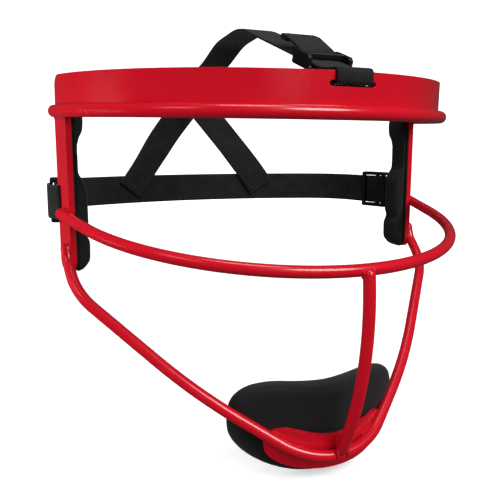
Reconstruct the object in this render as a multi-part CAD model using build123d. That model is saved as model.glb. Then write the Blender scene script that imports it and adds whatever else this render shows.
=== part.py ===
from build123d import *
import math
import os

# Fielder's face mask: welded wire cage, forehead band, pads and elastic harness.
#
# Frame: X to the wearer's left, -Y forward, +Z up. The origin is the middle of the
# head at brow height: the centre of the brow rail's curve, in the rail's own plane.

# ---------------------------------------------------------------- driving dimensions, mm
# Brow rail and band: one plan curve, a front arc blended into two side arcs
rail_half_width = 90.9      # rail centreline, from the middle to either side
rail_reach = 95.5           # rail centreline, from the origin to the front
front_radius = 88.0         # rail centreline, radius of the front arc
rail_diameter = 5.2
back_y = -7.6               # where the rail, the band and the side plates end
band_top = 14.7
band_thickness = 1.6
band_outer_offset = -1.0    # the band's face sits inside the rail's centreline
band_corner_radius = 5.0
band_slot = (19.6, 2.2)     # length and height of the slot for the top strap
band_slot_z = 10.3
band_strap_z = 10.6          # the strap passes through the slot above its middle

# Side plates
plate_outer_x = 90.0
plate_width = 13.6
plate_thickness = 2.4
plate_bottom = -66.0
plate_top_gap = 0.8         # the plate starts this far below the rail's centreline
plate_corner_radius = 5.0
plate_toe_in = 7.8          # degrees
plate_lean = 1.7            # degrees, the lower end leans forward
plate_slot = (2.0, 16.2)    # width and height of the slot for the rear strap
plate_slot_edge = 1.9       # from the plate's rear edge to the slot

# Cage wires
wire_diameter = 4.7
cheek_radius = 87.7         # plan curve of the cheek bar
cheek_reach = 106.6
cheek_front_z = -55.2
cheek_tilt = 8.5            # degrees, the bar rises towards its ends
cheek_splay = 13.1          # degrees, of its straight legs
cheek_leg = 25.0
jaw_end = (89.4, -19.0, -54.0)      # the bar's end, welded to the side plate
jaw_start = (-21.4, -61.3)  # Y and Z where the jaw bar bends forward into its own plane
jaw_tilt = 44.0             # degrees below the horizontal, of the jaw bar's plane
jaw_half_outline = [(89.1, 0.0), (88.5, 16.1), (50.7, 67.2), (13.5, 102.0)]
jaw_radii = [12.0, 31.0, 225.0, 34.0]
centre_bar_line = [(-108.6, -54.4), (-108.4, -92.3), (-95.6, -131.2)]

# Chin plate and pads
chin_plate_thickness = 1.6
chin_plate_gap = 0.1        # clear of the jaw bar, for the weld
chin_plate_lean = 6.7       # degrees, its top leans forward
chin_plate_half = 26.6
chin_pad_half = 39.5
chin_pad_front = -89.4
chin_pad_back = -76.0
hook_thickness = 0.7
forehead_hook_z = (1.0, 12.6)
forehead_hook_slit = (16.2, 1.7)  # round the top strap
forehead_pad_thickness = 6.0
forehead_pad_z = (-1.0, 9.3)
forehead_pad_half_angle = 62.0

# Harness
strap_thickness = 1.3
rear_strap_width = 15.0
rear_strap_z = -38.4        # the strap's middle where it passes the side plates
rear_strap_fall = 1.5       # degrees, the strap falls to the back
rear_strap_reach = 63.4
rear_strap_back_radius = 170.0
top_strap_width = 15.5
diagonal_width = 15.0
side_adjuster_at = (88.0, 8.5)
side_adjuster_turn = 10.0   # degrees, its strap run heads inwards
top_adjuster_y = -72.5
crown_line = (-33.0, 32.4)  # a point of the straight run of the top strap, Y and Z
crown_fall = 17.8           # degrees, how steeply that run falls forward
adjuster_clearance = 0.35


# ---------------------------------------------------------------- shared helpers
def plan_arcs(offset):
    """The rail's plan curve, moved outwards by offset: side arc, front arc, side arc."""
    front_centre = front_radius - rail_reach
    side_radius = (rail_half_width**2 + front_centre**2 - front_radius**2) / (
        2 * (rail_half_width - front_radius)
    )
    side_centre = side_radius - rail_half_width
    blend = math.degrees(math.atan2(-front_centre, side_centre))
    end = math.degrees(math.asin(-back_y / (side_radius + offset)))
    sweep_side = blend - end
    front = CenterArc((0, front_centre), front_radius + offset, 180 + blend, 180 - 2 * blend)
    left = CenterArc((side_centre, 0), side_radius + offset, 180 + end, sweep_side)
    right = CenterArc((-side_centre, 0), side_radius + offset, -blend, sweep_side)
    return [left, front, right]


def curved_wall(outer_offset, inner_offset, low, high):
    """A wall standing on the plan curve between two offsets and two heights."""
    outer, inner = plan_arcs(outer_offset), plan_arcs(inner_offset)
    ends = [Line(outer[0] @ 0, inner[0] @ 0), Line(outer[2] @ 1, inner[2] @ 1)]
    face = make_face(outer + inner + ends)
    return Pos(0, 0, low) * extrude(face, amount=high - low)


def wire_along(path, diameter):
    """A round wire along a path, its cut ends rounded over."""
    section = Plane(origin=path @ 0, z_dir=path % 0) * Circle(diameter / 2)
    bar = sweep(section, path=path)
    rims = bar.edges().filter_by(GeomType.CIRCLE)
    ends = [e for e in rims if min((e.arc_center - path @ t).length for t in (0, 1)) < 0.01]
    return fillet(ends, radius=diameter * 0.4)


def ribbon(path, width, thickness=strap_thickness):
    """Flat webbing along a path drawn in the XY plane, its width along Z."""
    side = Plane(origin=path @ 0, z_dir=path % 0, x_dir=(0, 0, 1))
    return sweep(side * Rectangle(width, thickness), path=path)


def mirrored(shape):
    """The same shape on the other side of the mask."""
    return mirror(shape, about=Plane.YZ)


# ---------------------------------------------------------------- cage
def build_brow_rail():
    return wire_along(Wire([arc.edge() for arc in plan_arcs(0)]), rail_diameter)


def build_forehead_plate(rail):
    inner = band_outer_offset - band_thickness
    wall = curved_wall(band_outer_offset, inner, 0, band_top)
    corners = [
        e for e in wall.edges()
        if e.length < 2 * band_thickness and e.center().Z > band_top - 0.01
    ]
    wall = fillet(corners, radius=band_corner_radius)
    length, height = band_slot
    slot = extrude(Plane.XZ * Pos(0, band_slot_z) * SlotOverall(length, height), amount=rail_reach)
    return wall - slot - rail


def plate_frame():
    """The left plate's own frame: X forward, Y up and Z inward from its outer face."""
    toe, lean = math.radians(plate_toe_in), math.radians(plate_lean)
    forward = Vector(-math.sin(toe), -math.cos(toe), 0)
    inward = Vector(-math.cos(toe), math.sin(toe), 0)
    leaning = forward * math.cos(lean) + Vector(0, 0, math.sin(lean))
    return Plane(origin=(plate_outer_x, back_y, 0), x_dir=leaning, z_dir=inward)


def build_side_plate(rail):
    height = -plate_bottom
    sheet = Pos(plate_width / 2, -height / 2 - plate_top_gap) * Rectangle(plate_width, height)
    sheet = fillet(sheet.vertices().group_by(Axis.Y)[0], radius=plate_corner_radius)
    slot_width, slot_height = plate_slot
    slot_centre = Pos(plate_slot_edge + slot_width / 2, rear_strap_z)
    sheet -= slot_centre * Rot(0, 0, 90) * SlotOverall(slot_height, slot_width)
    return plate_frame() * extrude(sheet, amount=plate_thickness) - rail


def cheek_path():
    """A front arc with a straight leg at each end, in a plane that rises to the rear."""
    tilt, splay = math.radians(cheek_tilt), math.radians(cheek_splay)
    plane = Plane(
        origin=(0, -cheek_reach, cheek_front_z),
        x_dir=(1, 0, 0),
        z_dir=(0, -math.sin(tilt), math.cos(tilt)),
    )
    arc = CenterArc((0, cheek_radius), cheek_radius, 180 + cheek_splay, 180 - 2 * cheek_splay)
    reach = Vector(math.sin(splay), math.cos(splay)) * cheek_leg
    right = Line(arc @ 1, (arc @ 1) + reach)
    left = Line((arc @ 0) + Vector(-reach.X, reach.Y), arc @ 0)
    return plane * Wire([left.edge(), arc.edge(), right.edge()])


def jaw_path():
    """A U in a tilted plane: two ends on the plates, two long legs and the chin curve."""
    tilt = math.radians(jaw_tilt)
    plane = Plane(
        origin=(0, *jaw_start), x_dir=(1, 0, 0), z_dir=(0, math.sin(tilt), -math.cos(tilt))
    )
    left = [Vector(*jaw_end)] + [plane.from_local_coords(Vector(*point)) for point in jaw_half_outline]
    right = [Vector(-point.X, point.Y, point.Z) for point in reversed(left)]
    path = FilletPolyline(*left, *right, radius=jaw_radii + jaw_radii[::-1])
    return path.wire()


def build_centre_bar(cheek, jaw):
    path = Wire([ThreePointArc(*[(0, y, z) for y, z in centre_bar_line]).edge()])
    bar = wire_along(path, wire_diameter) - cheek - jaw
    return max(bar.solids(), key=lambda piece: piece.volume)


# ---------------------------------------------------------------- chin piece
def jaw_plan_y(x):
    """How far forward the jaw bar is at a distance x from the middle, in the chin curve."""
    leg, corner = jaw_half_outline[-2:]
    radius = jaw_radii[-1]
    slope = math.atan2(corner[1] - leg[1], leg[0] - corner[0])
    start = radius * math.tan(slope / 2)
    arc_centre_x = corner[0] - start
    arc_end_x = arc_centre_x + radius * math.sin(slope)
    if x <= arc_centre_x:
        drop = 0.0
    elif x <= arc_end_x:
        drop = radius - math.sqrt(radius**2 - (x - arc_centre_x) ** 2)
    else:
        drop = radius * (1 - math.cos(slope)) + (x - arc_end_x) * math.tan(slope)
    return jaw_start[0] - (corner[1] - drop) * math.cos(math.radians(jaw_tilt))


def chin_plate_outline():
    """Half outline of the chin plate as X and Z, from its top centre to its bottom centre."""
    half = chin_plate_half
    return [(0, -124.4), (21.0, -120.0), (half, -120.8), (half, -129.5), (17.0, -139.0), (0, -139.0)]


def build_chin_plate():
    """A sheet bent to the inside of the jaw bar, trimmed to a rounded outline."""
    behind = wire_diameter / 2 + chin_plate_gap
    stations = [-32, -22, -12, 0, 12, 22, 32]
    front = [(x, jaw_plan_y(abs(x)) + behind * 1.15) for x in stations]
    back = [(x, y + chin_plate_thickness) for x, y in front]
    bent = make_face(
        [Spline(*front).edge(), Spline(*back).edge(), Line(front[0], back[0]).edge(),
         Line(front[-1], back[-1]).edge()]
    )
    lean = math.radians(chin_plate_lean)
    jaw_z = jaw_start[1] - jaw_half_outline[-1][1] * math.sin(math.radians(jaw_tilt))
    sheet = extrude(bent, amount=40, dir=(0, -math.sin(lean), math.cos(lean)), both=True)
    sheet = Pos(0, 0, jaw_z) * sheet
    half = chin_plate_outline()
    outline = half + [(-x, z) for x, z in half[-2:0:-1]]
    trim = make_face(Polyline(*outline, close=True))
    rounded = {21.0: 8.0, chin_plate_half: 3.4, 17.0: 14.0}
    for x, radius in rounded.items():
        corners = [v for v in trim.vertices() if abs(abs(v.X) - x) < 0.01]
        trim = fillet(corners, radius=radius)
    cutter = extrude(Plane.XZ * trim, amount=120)
    return sheet & cutter


def build_chin_pad(chin_plate, hook, jaw):
    """A foam block, bowed to the chin in plan and bean-shaped from the front."""
    front = ThreePointArc(
        (-45, chin_pad_front + 17.9), (0, chin_pad_front), (45, chin_pad_front + 17.9)
    )
    back = ThreePointArc(
        (-45, chin_pad_back + 12.1), (0, chin_pad_back), (45, chin_pad_back + 12.1)
    )
    plan = make_face([front, back, Line(front @ 0, back @ 0), Line(front @ 1, back @ 1)])
    lean = math.radians(chin_plate_lean)
    block = Pos(0, 0, -120) * extrude(
        plan, amount=40, dir=(0, -math.sin(lean), math.cos(lean)), both=True
    )
    half = chin_pad_half
    outline = [(-half, -101.5), (0, -105.2), (half, -101.5), (half, -126), (19.5, -144.3),
               (-19.5, -144.3), (-half, -126)]
    trim = make_face(Polyline(*outline, close=True))
    for x, z, radius in [(half, -101.5, 14), (half, -126, 16), (19.5, -144.3, 30), (0, -105.2, 50)]:
        corners = [v for v in trim.vertices() if abs(abs(v.X) - x) + abs(v.Y - z) < 0.01]
        trim = fillet(corners, radius=radius)
    pad = block & extrude(Plane.XZ * trim, amount=120)
    return pad - chin_plate - hook - jaw


def build_chin_hook(chin_plate):
    """The hook patch stuck to the back of the chin plate, a little smaller than it."""
    shifted = Pos(0, hook_thickness, 0) * chin_plate - chin_plate
    inset = extrude(Plane.XZ * Pos(0, -130.5) * RectangleRounded(44, 13, 3), amount=120)
    patch = shifted & inset
    return max(patch.solids(), key=lambda piece: piece.volume)


# ---------------------------------------------------------------- head pads
def wedge(half_angle):
    """The sector of plan that a pad covers, either side of straight ahead."""
    reach = 2 * rail_reach
    angle = math.radians(half_angle)
    corner = (reach * math.sin(angle), -reach * math.cos(angle))
    face = make_face(Polyline((0, 0), corner, (corner[0], -reach), (-corner[0], -reach),
                              (-corner[0], corner[1]), close=True))
    return extrude(face, amount=reach, both=True)


def build_forehead_pads():
    band_inner = band_outer_offset - band_thickness
    low, high = forehead_pad_z
    strip_inner = band_inner - hook_thickness
    strip = curved_wall(band_inner, strip_inner, *forehead_hook_z) & wedge(forehead_pad_half_angle - 2)
    length, height = forehead_hook_slit
    strip -= Pos(0, -rail_reach, band_strap_z) * Box(length, 2 * band_thickness + 6, height)
    pad = curved_wall(strip_inner, strip_inner - forehead_pad_thickness, low, high)
    pad = pad & wedge(forehead_pad_half_angle)
    ends = [e for e in pad.edges() if abs(e.length - (high - low)) < 0.01 and e.center().Y > -60]
    return strip, fillet(ends, radius=2.4)


def build_temple_pads():
    """The hook strip and the three-lobed pad on the inner face of the left side plate."""
    start = plate_slot_edge + plate_slot[0] + 0.6
    strip_width = plate_width - start - 0.4
    strip = Pos(start + strip_width / 2, -34, plate_thickness) * extrude(
        RectangleRounded(strip_width, 58, 2), amount=hook_thickness
    )
    base = plate_thickness + hook_thickness
    profile = [(4, base), (4, 7.0), (0, 8.1), (-8.5, 8.1), (-13, 5.2), (-27, 5.2), (-30.5, 9.1),
               (-48.5, 9.1), (-51.5, 7.6), (-54.5, 9.7), (-62, 9.3), (-66.5, 6.2), (-66.5, base)]
    side = make_face(Polyline(*[(0, height, depth) for height, depth in profile], close=True))
    pad = extrude(side, amount=plate_width, dir=(1, 0, 0))
    recess_depth = strap_thickness + 0.5 - hook_thickness
    strap_room = Pos(start / 2, rear_strap_z, base + recess_depth / 2) * Box(
        start, plate_slot[1], recess_depth
    )
    frame = plate_frame()
    return frame * strip, frame * (pad - strap_room)


# ---------------------------------------------------------------- harness
def strap_plane():
    """The plane of the rear strap's plan path: level from side to side, falling to the back."""
    fall = math.radians(rear_strap_fall)
    return Plane(origin=(0, 0, rear_strap_z), x_dir=(1, 0, 0), z_dir=(0, math.sin(fall), math.cos(fall)))


def side_run():
    """Middle and heading of the straight strap run that carries the side adjuster."""
    turn = math.radians(side_adjuster_turn)
    return Vector(*side_adjuster_at), Vector(-math.sin(turn), math.cos(turn))


def rear_strap_half():
    """Plan path of the left half of the rear strap, from the back centre to its loop."""
    middle, heading = side_run()
    outward = Vector(heading.Y, -heading.X)
    run_end = middle + heading * 19.2
    big = rear_strap_back_radius
    lift = big - rear_strap_reach + run_end.Y
    top = run_end.X**2 + lift**2 - big**2
    small = top / (2 * run_end.X * outward.X + 2 * lift * outward.Y - 2 * big)
    corner_centre = run_end - outward * small
    toward = Vector(corner_centre.X, corner_centre.Y + big - rear_strap_reach).normalized()
    join = Vector(0, rear_strap_reach - big) + toward * big
    back_angle = math.degrees(math.atan2(toward.Y, toward.X))
    run_angle = math.degrees(math.atan2(outward.Y, outward.X))
    back = CenterArc((0, rear_strap_reach - big), big, 90, back_angle - 90)
    bend = CenterArc(corner_centre, small, back_angle, run_angle - back_angle)
    assert (back @ 1 - join).length < 0.01
    face_gap = strap_thickness / 2 + 0.1
    toe = math.radians(plate_toe_in)
    forward, inward = Vector(-math.sin(toe), -math.cos(toe)), Vector(-math.cos(toe), math.sin(toe))
    lean_shift = forward * (-rear_strap_z * math.tan(math.radians(plate_lean)))
    corner = Vector(plate_outer_x, back_y) + lean_shift
    slot_middle = forward * (plate_slot_edge + plate_slot[0] / 2)
    inside = corner + inward * (plate_thickness + face_gap)
    outside = corner - inward * face_gap
    points = [
        run_end,
        middle - heading * 10.6,
        inside - forward * 0.6,
        inside + slot_middle,
        outside + slot_middle,
        outside,
        Vector(92.9, -1.2),
        middle - heading * 1.7 + outward * 1.7,
    ]
    loop = FilletPolyline(*points, radius=[7.0, 4.0, 1.0, 1.0, 8.0, 5.0])
    return [back.edge(), bend.edge()] + list(loop.edges())


def build_rear_strap():
    path = Wire(rear_strap_half())
    half = strap_plane() * ribbon(path, rear_strap_width)
    return half + mirrored(half)


def adjuster(length, strap_width, rise=0.0):
    """A three-bar slider. X runs along the strap, Y across it and Z to its outer side."""
    gap = strap_thickness / 2 + adjuster_clearance
    rail = 1.8
    bar = 2.4
    height = 2.3
    across = strap_width + 2 * (adjuster_clearance + rail)
    outline = RectangleRounded(length, across, 2.2)
    body = Pos(0, 0, -height) * extrude(outline, amount=2 * height + rise)
    window = Rectangle(length - 2 * bar, across - 2 * rail)
    body -= Pos(0, 0, -height) * extrude(window, amount=2 * height + rise)
    body -= Box(length, across - 2 * rail, 2 * gap)
    top = height + rise
    body -= Pos(0, 0, gap + top / 2) * Box(length, across - 2 * rail, top)
    middle_bar = Pos(0, 0, (gap + top) / 2) * Box(bar, across - rail, top - gap)
    return body + middle_bar


def build_side_adjuster():
    middle, heading = side_run()
    outward = Vector(heading.Y, -heading.X)
    place = Plane(origin=middle, x_dir=heading, z_dir=outward)
    return strap_plane() * (place * adjuster(17.2, rear_strap_width))


def crown_point(y):
    """A point of the straight run of the top strap, above the given Y."""
    return Vector(y, crown_line[1] + (y - crown_line[0]) * math.tan(math.radians(crown_fall)))


def top_strap_path():
    """Path in the middle plane, as Y and Z: nape end, crown, adjuster run, band slot, inner leg."""
    face_gap = strap_thickness / 2 + 0.1
    outer_y = -(rail_reach + band_outer_offset) - face_gap
    points = [
        Vector(68.6, 0.5),
        Vector(70.4, 12.5),
        Vector(56.0, 20.5),
        Vector(34.0, 26.0),
        Vector(14.4, 34.9),
        crown_point(-12.2),
        crown_point(-84),
        Vector(outer_y, band_top + face_gap),
        Vector(outer_y, band_strap_z),
        Vector(-89.0, band_strap_z - 0.2),
        Vector(-79.0, 13.8),
    ]
    return FilletPolyline(*points, radius=[8.0, 20.0, 60.0, 40.0, 38.0, 18.0, 1.2, 1.0, 8.0])


def build_top_strap():
    upright = Plane(origin=(0, 0, 0), x_dir=(0, 1, 0), z_dir=(1, 0, 0))
    return upright * ribbon(top_strap_path().wire(), top_strap_width)


def build_top_adjuster():
    fall = math.radians(crown_fall)
    at = crown_point(top_adjuster_y)
    along = Vector(0, -math.cos(fall), -math.sin(fall))
    upward = Vector(0, -math.sin(fall), math.cos(fall))
    place = Plane(origin=(0, at.X, at.Y), x_dir=along, z_dir=upward)
    return place * adjuster(13.5, top_strap_width, rise=0.9)


def build_top_tail():
    """The free end of the top strap: out from under the middle bar, up and over the crown."""
    start = crown_point(top_adjuster_y + 1.3) + Vector(-0.5, 1.75)
    path = FilletPolyline(start, (-67.0, 24.9), (-57.6, 30.2), (-53.0, 31.6), radius=[14.0, 6.0]).wire()
    upright = Plane(origin=(0, 0, 0), x_dir=(0, 1, 0), z_dir=(1, 0, 0))
    return upright * ribbon(path, top_strap_width)


def build_diagonal_strap():
    """Left diagonal, from the inside of the rear strap up to the apex at the back."""
    stations = [
        (Vector(40.0, 56.9, -40.3), Vector(0.24, 0.97, 0.0)),
        (Vector(32.8, 58.3, -30.3), Vector(0.21, 0.97, 0.08)),
        (Vector(18.0, 63.4, -10.6), Vector(0.10, 0.98, -0.14)),
        (Vector(3.5, 66.6, 6.5), Vector(0.0, 0.98, -0.19)),
    ]
    sections = []
    for index, (centre, normal) in enumerate(stations):
        before = stations[max(index - 1, 0)][0]
        after = stations[min(index + 1, len(stations) - 1)][0]
        along = (after - before).normalized()
        across = along.cross(normal).normalized()
        sections.append(
            Plane(origin=centre, x_dir=across, z_dir=along) * Rectangle(diagonal_width, strap_thickness)
        )
    strap = loft(sections, ruled=True)
    own_side = Pos(100.15, 0, 0) * Box(200, 400, 400)
    return strap & own_side


# ---------------------------------------------------------------- write the parts
def main():
    os.makedirs("parts", exist_ok=True)
    rail = build_brow_rail()
    cheek = wire_along(cheek_path(), wire_diameter)
    jaw = wire_along(jaw_path(), wire_diameter)
    side_plate = build_side_plate(rail) - cheek - jaw
    temple_hook, temple_pad = build_temple_pads()
    forehead_hook, forehead_pad = build_forehead_pads()
    chin_plate = build_chin_plate() - jaw
    chin_hook = build_chin_hook(chin_plate)
    parts = {
        "brow_rail": rail,
        "forehead_plate": build_forehead_plate(rail),
        "cheek_bar": cheek,
        "jaw_bar": jaw,
        "centre_bar": build_centre_bar(cheek, jaw),
        "chin_plate": chin_plate,
        "chin_hook_patch": chin_hook,
        "chin_pad": build_chin_pad(chin_plate, chin_hook, jaw),
        "forehead_hook_strip": forehead_hook,
        "forehead_pad": forehead_pad,
        "rear_strap": build_rear_strap(),
        "top_strap": build_top_strap(),
        "top_strap_tail": build_top_tail(),
        "top_adjuster": build_top_adjuster(),
    }
    paired = {
        "side_plate": side_plate,
        "temple_hook_strip": temple_hook,
        "temple_pad": temple_pad,
        "diagonal_strap": build_diagonal_strap(),
        "side_adjuster": build_side_adjuster(),
    }
    for name, shape in paired.items():
        parts["left_" + name] = shape
        parts["right_" + name] = mirrored(shape)
    for name, shape in parts.items():
        export_step(shape, f"parts/{name}.step")


main()
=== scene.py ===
from math import asin, atan2, ceil, copysign, cos, pi, radians, sin, sqrt, tan

import bmesh
import bpy
from mathutils import Matrix, Vector


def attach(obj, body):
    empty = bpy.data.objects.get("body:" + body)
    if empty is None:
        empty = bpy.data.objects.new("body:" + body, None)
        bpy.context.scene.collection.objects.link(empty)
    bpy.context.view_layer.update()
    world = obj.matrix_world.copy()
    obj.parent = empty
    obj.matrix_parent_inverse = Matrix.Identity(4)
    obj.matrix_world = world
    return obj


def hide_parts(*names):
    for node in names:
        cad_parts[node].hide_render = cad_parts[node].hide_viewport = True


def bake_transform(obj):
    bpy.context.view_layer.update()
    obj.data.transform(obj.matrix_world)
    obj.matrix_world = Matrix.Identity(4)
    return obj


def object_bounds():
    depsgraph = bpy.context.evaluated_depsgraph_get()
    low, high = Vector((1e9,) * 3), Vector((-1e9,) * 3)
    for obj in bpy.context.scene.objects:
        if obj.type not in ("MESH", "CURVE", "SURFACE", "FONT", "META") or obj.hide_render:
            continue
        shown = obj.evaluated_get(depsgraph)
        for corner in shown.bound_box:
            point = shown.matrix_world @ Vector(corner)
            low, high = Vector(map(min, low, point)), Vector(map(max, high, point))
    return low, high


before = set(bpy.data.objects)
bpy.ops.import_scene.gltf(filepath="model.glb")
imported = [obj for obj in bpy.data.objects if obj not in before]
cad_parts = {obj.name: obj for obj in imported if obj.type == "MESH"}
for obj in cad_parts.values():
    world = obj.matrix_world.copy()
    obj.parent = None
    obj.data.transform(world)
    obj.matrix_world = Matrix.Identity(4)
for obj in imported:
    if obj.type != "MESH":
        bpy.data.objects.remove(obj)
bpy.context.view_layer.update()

# Fielder's face mask. All sizes below are in millimetres, as in the CAD source, and
# become metres when a mesh is made. X is the wearer's left, -Y is forward, Z is up.
MM = 0.001
X_AXIS = Vector((1, 0, 0))
scene = bpy.context.scene

# ---- sizes shared with the CAD
RAIL_HALF, RAIL_REACH, FRONT_R, RAIL_D, BACK_Y = 90.9, 95.5, 88.0, 5.2, -7.6
BAND_TOP, BAND_T, BAND_OFFSET, BAND_CORNER = 14.7, 1.6, -1.0, 5.0
BAND_SLOT_L, BAND_SLOT_H, BAND_SLOT_Z, BAND_STRAP_Z = 19.6, 2.2, 10.3, 10.6
PLATE_X, PLATE_W, PLATE_T, PLATE_LOW, PLATE_GAP = 90.0, 13.6, 2.4, -66.0, 0.8
PLATE_CORNER, PLATE_TOE, PLATE_LEAN = 5.0, radians(7.8), radians(1.7)
PLATE_SLOT_W, PLATE_SLOT_H, PLATE_SLOT_EDGE = 2.0, 16.2, 1.9
WIRE_D = 4.7
STRAP_T, REAR_W, REAR_Z, REAR_FALL = 1.3, 15.0, -38.4, radians(1.5)
TOP_W, DIAGONAL_W = 15.5, 15.0
SIDE_AT, SIDE_TURN = Vector((88.0, 8.5)), radians(10.0)
CROWN_LINE, CROWN_FALL, TOP_ADJUSTER_Y = (-33.0, 32.4), radians(17.8), -72.5
HOOK_T, PAD_HALF_ANGLE = 0.7, 62.0
CHIN_LEAN = tan(radians(6.7))

# ---- sizes of the visual detail
RIPPLE_PITCH = 1.5
WEB_RIBS, WEB_RIB_DEPTH = 12, 0.10
THREAD_R, STITCH, STITCH_GAP, TACK_PITCH = 0.17, 1.5, 0.55, 0.55
PAD_PRESSURE, FOAM_RINGS, PAD_FILL = 4.0, 14, 0.8
TAPE_CORNER, TAPE_TOP, SLIT_HALF, SLIT_END_R = 1.5, 12.6, 8.1, 0.8
SIDE_SLIDER_L, TOP_SLIDER_L, TOP_SLIDER_RISE = 17.2, 13.5, 0.9
BACK_R, BACK_REACH = 170.0, 63.4


# ---- mesh helpers
def link(name, data):
    """A new object in the scene for a mesh, a light or a camera."""
    thing = bpy.data.objects.new(name, data)
    scene.collection.objects.link(thing)
    return thing


def mesh_from(name, bm):
    mesh = bpy.data.meshes.new(name)
    bm.to_mesh(mesh)
    bm.free()
    return mesh


def make_object(name, bm):
    """An object from a bmesh drawn in millimetres."""
    bmesh.ops.scale(bm, vec=(MM, MM, MM), verts=bm.verts)
    bmesh.ops.remove_doubles(bm, verts=bm.verts, dist=1e-7)
    bmesh.ops.recalc_face_normals(bm, faces=bm.faces)
    mesh = mesh_from(name, bm)
    mesh.shade_smooth()
    return link(name, mesh)


def bake_modifiers(piece):
    """Applies every modifier on a piece to its mesh."""
    bpy.context.view_layer.update()
    depsgraph = bpy.context.evaluated_depsgraph_get()
    mesh = bpy.data.meshes.new_from_object(piece.evaluated_get(depsgraph))
    piece.modifiers.clear()
    piece.data = mesh
    return piece


def bevelled(piece, width):
    """Rounds a piece's sharp edges and keeps its broad faces flat in shading."""
    bevel = piece.modifiers.new("bevel", "BEVEL")
    bevel.width, bevel.segments = width * MM, 3
    bevel.limit_method, bevel.angle_limit = "ANGLE", radians(35)
    bevel.harden_normals = True
    return bake_modifiers(piece)


def voxelled(piece, voxel):
    """One even skin over a piece's overlapping solids."""
    remesh = piece.modifiers.new("voxels", "REMESH")
    remesh.mode, remesh.voxel_size = "VOXEL", voxel * MM
    return bake_modifiers(piece)


def smoothed(piece, rounds):
    even = piece.modifiers.new("even", "SMOOTH")
    even.factor, even.iterations = 0.5, rounds
    return bake_modifiers(piece)


def copy_mirrored(piece, name):
    """The same piece on the other side of the mask."""
    mesh = piece.data.copy()
    mesh.transform(Matrix.Scale(-1, 4, X_AXIS))
    mesh.flip_normals()
    return link(name, mesh)


def joined(name, pieces):
    """One object out of several that share their materials."""
    bm = bmesh.new()
    for piece in pieces:
        bm.from_mesh(piece.data)
        bpy.data.objects.remove(piece)
    return link(name, mesh_from(name, bm))


def bridge(bm, a, b):
    """Faces between two rings. A ring of one point makes a tip."""
    for k in range(max(len(a), len(b))):
        loop = (a[k % len(a)], a[(k + 1) % len(a)], b[(k + 1) % len(b)], b[k % len(b)])
        corners = list(dict.fromkeys(loop))
        if len(corners) > 2:
            bm.faces.new(corners)


def dome(near, reach):
    """Rises from 0 at an edge to 1 at reach from it, as a quarter circle does."""
    return sqrt(max(1 - (1 - near / reach) ** 2, 0)) if near < reach else 1.0


def corner_drop(near, radius):
    """How far a rounded corner's edge lies inside the square one, near its end."""
    return radius * (1 - dome(near, radius))


# ---- paths
def arc_points(centre, start, end, pitch):
    """Points on the shorter arc from start to end about a centre."""
    u, v = start - centre, end - centre
    turn, axis = u.angle(v), u.cross(v)
    count = max(2, ceil(turn * u.length / pitch))
    return [centre + Matrix.Rotation(turn * i / count, 3, axis) @ u for i in range(count + 1)]


def rounded_path(points, radii, pitch=0.9):
    """A polyline whose inner corners are turned into arcs."""
    points = [Vector(p) for p in points]
    out = [points[0]]
    for before, corner, after, radius in zip(points, points[1:], points[2:], radii):
        a, b = (before - corner).normalized(), (after - corner).normalized()
        half = a.angle(b) / 2
        if half > pi / 2 - 1e-4:
            out.append(corner)
            continue
        trim = radius / tan(half)
        centre = corner + (a + b).normalized() * (radius / sin(half))
        out += arc_points(centre, corner + a * trim, corner + b * trim, pitch)
    return out + [points[-1]]


def running_lengths(points):
    """The length along a polyline at each of its points."""
    lengths = [0.0]
    for a, b in zip(points, points[1:]):
        lengths.append(lengths[-1] + (b - a).length)
    return lengths


def resample(points, pitch):
    """Points at equal steps along a polyline."""
    lengths = running_lengths(points)
    count = max(2, round(lengths[-1] / pitch))
    out, k = [], 0
    for i in range(count + 1):
        target = lengths[-1] * i / count
        while k < len(points) - 2 and lengths[k + 1] < target:
            k += 1
        span = max(lengths[k + 1] - lengths[k], 1e-9)
        out.append(points[k].lerp(points[k + 1], min(max((target - lengths[k]) / span, 0), 1)))
    return out


def catmull(points, pitch):
    """A smooth curve through a few points."""
    points = [Vector(p) for p in points]
    ends = [2 * points[0] - points[1]] + points + [2 * points[-1] - points[-2]]
    out = []
    for a, b, c, d in zip(ends, ends[1:], ends[2:], ends[3:]):
        for i in range(12):
            t = i / 12
            out.append(0.5 * (2 * b + (c - a) * t + (2 * a - 5 * b + 4 * c - d) * t**2
                              + (3 * b - a - 3 * c + d) * t**3))
    return resample(out + [points[-1]], pitch)


def tangents(points):
    last = len(points) - 1
    return [(points[min(i + 1, last)] - points[max(i - 1, 0)]).normalized() for i in range(last + 1)]


def plan_arc(x, y, radius, low, high, count):
    """Points on an arc in plan, from one angle to another."""
    turns = [low + (high - low) * k / count for k in range(count + 1)]
    return [Vector((x + radius * cos(a), y + radius * sin(a), 0)) for a in turns]


def plan_points(offset, pitch=1.2):
    """The brow rail's plan curve, moved outwards: from the right end to the left end."""
    front_y = FRONT_R - RAIL_REACH
    side_r = (RAIL_HALF**2 + front_y**2 - FRONT_R**2) / (2 * (RAIL_HALF - FRONT_R))
    side_x = side_r - RAIL_HALF
    blend, end = atan2(-front_y, side_x), asin(-BACK_Y / (side_r + offset))
    out = []
    for x, y, radius, low, high in (
        (side_x, 0, side_r, pi + end, pi + blend),
        (0, front_y, FRONT_R, pi + blend, 2 * pi - blend),
        (-side_x, 0, side_r, 2 * pi - blend, 2 * pi - end),
    ):
        out += plan_arc(x, y, radius + offset, low, high, ceil((high - low) * radius / pitch))
    return [p for i, p in enumerate(out) if i == 0 or (p - out[i - 1]).length > 1e-4]


def middle_points(*pairs):
    """Points of the middle plane from (y, z) pairs."""
    return [Vector((0, y, z)) for y, z in pairs]


def mirror_path(points):
    return [Vector((-p.x, p.y, p.z)) for p in points]


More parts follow.
